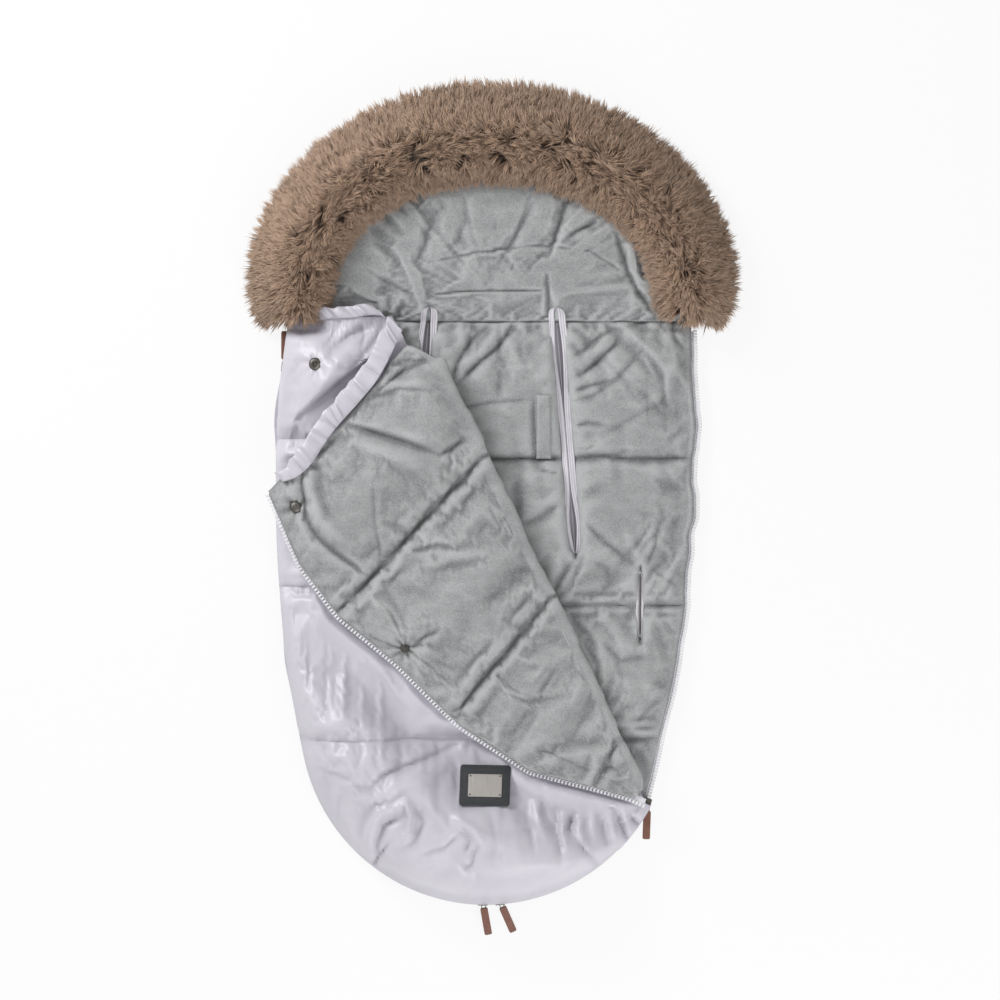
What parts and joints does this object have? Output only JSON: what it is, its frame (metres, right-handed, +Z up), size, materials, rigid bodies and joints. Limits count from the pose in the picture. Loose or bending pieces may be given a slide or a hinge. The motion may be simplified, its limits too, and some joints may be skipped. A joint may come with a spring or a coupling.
{
  "type": "stroller footmuff",
  "caption": "Padded stroller footmuff laid open, with a folded-back zipped cover, plush lining, harness slots, hood and faux-fur trim.",
  "frame": {"origin": "centre of the bounding box's bottom face, on the surface that the back panel lies on", "axes": "+Z up out of the back panel towards the child; +Y along the body from the foot end towards the hood; +X to the right seen from above with the hood at the top"},
  "size_m": [0.5544, 0.9782, 0.0819],
  "materials": {
    "shell": "satin woven nylon, lilac grey",
    "plush": "short plush, grey",
    "wadding": "soft wadding",
    "binding": "satin binding",
    "stitching": "close sewn edge, pale",
    "tape": "woven tape",
    "teeth": "moulded zip teeth, white",
    "metal": "dark plated metal",
    "plate": "plain nickel",
    "leather": "brown leather",
    "leatherette": "black grained leatherette",
    "fur": "long faux fur, brown",
    "elastic": "woven elastic"
  },
  "bodies": {
    "main": {"back_shell": "shell", "back_padding": "wadding", "back_lining": "plush", "harness_binding_left": "binding", "harness_binding_right": "binding", "waist_binding_left": "stitching", "waist_binding_right": "stitching", "tongue_patch": "plush", "cover_shell": "shell", "cover_padding": "wadding", "cover_lining": "plush", "cover_hem": "shell", "cover_elastic": "elastic", "left_zip_teeth": "teeth", "left_zip_tape": "tape", "foot_zip_teeth": "teeth", "foot_zip_tape": "tape", "side_zip_teeth": "teeth", "side_zip_tape": "tape", "badge_patch": "leatherette", "badge_plate": "plate", "badge_rivet_1": "metal", "badge_rivet_2": "metal", "badge_rivet_3": "metal", "badge_rivet_4": "metal", "snap_socket": "metal"},
    "cover_flap": {"flap_shell": "shell", "flap_padding": "wadding", "flap_lining": "plush", "flap_zip_teeth": "teeth", "flap_zip_tape": "tape", "flap_hem": "shell", "flap_elastic": "elastic", "snap_cap": "metal", "snap_post": "metal"},
    "hood": {"hood_shell": "shell", "hood_padding": "wadding", "hood_lining": "plush", "fur_trim": "fur", "fur_band": "tape"},
    "left_slider": {"left_slider": "metal"},
    "left_pull": {"left_pull_link": "metal", "left_pull_tab": "leather"},
    "side_slider": {"side_slider": "metal"},
    "side_pull": {"side_pull_link": "metal", "side_pull_tab": "leather"},
    "foot_left_slider": {"foot_left_slider": "metal"},
    "foot_left_pull": {"foot_left_pull_link": "metal", "foot_left_pull_tab": "leather"},
    "foot_right_slider": {"foot_right_slider": "metal"},
    "foot_right_pull": {"foot_right_pull_link": "metal", "foot_right_pull_tab": "leather"}
  },
  "joints": [
    {"name": "cover_fold", "type": "hinge", "parent": "main", "child": "cover_flap", "pos_m": [0.1765, -0.3387, 0.02915], "axis": [-0.4283, 0.9027, 0.04], "range_deg": [0, 160]},
    {"name": "hood_fold", "type": "hinge", "parent": "main", "child": "hood", "pos_m": [0, 0.2159, 0.0175], "axis": [1, 0, 0], "range_deg": [0, 20]},
    {"name": "left_slide", "type": "hinge", "parent": "main", "child": "left_slider", "pos_m": [1.17972, 0.01709, 0.0067], "axis": [0, 0, 1], "range_deg": [0, 16]},
    {"name": "side_slide", "type": "hinge", "parent": "main", "child": "side_slider", "pos_m": [-1.37406, 0.09387, 0.0067], "axis": [0, 0, 1], "range_deg": [0, 18]},
    {"name": "foot_left_slide", "type": "hinge", "parent": "main", "child": "foot_left_slider", "pos_m": [-0.0075, -0.2398, 0.0067], "axis": [0, 0, -1], "range_deg": [0, 70]},
    {"name": "foot_right_slide", "type": "hinge", "parent": "main", "child": "foot_right_slider", "pos_m": [-0.0075, -0.2398, 0.0067], "axis": [0, 0, 1], "range_deg": [0, 37]},
    {"name": "left_pull_swing", "type": "hinge", "parent": "left_slider", "child": "left_pull", "pos_m": [-0.2381, 0.16662, 0.0136], "axis": [1, 0, 0], "range_deg": [0, 100]},
    {"name": "side_pull_swing", "type": "hinge", "parent": "side_slider", "child": "side_pull", "pos_m": [0.17771, -0.34025, 0.0136], "axis": [-0.9994, 0.0349, 0], "range_deg": [0, 135]},
    {"name": "foot_left_pull_swing", "type": "hinge", "parent": "foot_left_slider", "child": "foot_left_pull", "pos_m": [-0.0109, -0.4521, 0.0136], "axis": [-0.9854, -0.1702, 0], "range_deg": [0, 95]},
    {"name": "foot_right_pull_swing", "type": "hinge", "parent": "foot_right_slider", "child": "foot_right_pull", "pos_m": [0.00932, -0.45139, 0.0136], "axis": [-0.9171, -0.3987, 0], "range_deg": [0, 95]}
  ]
}
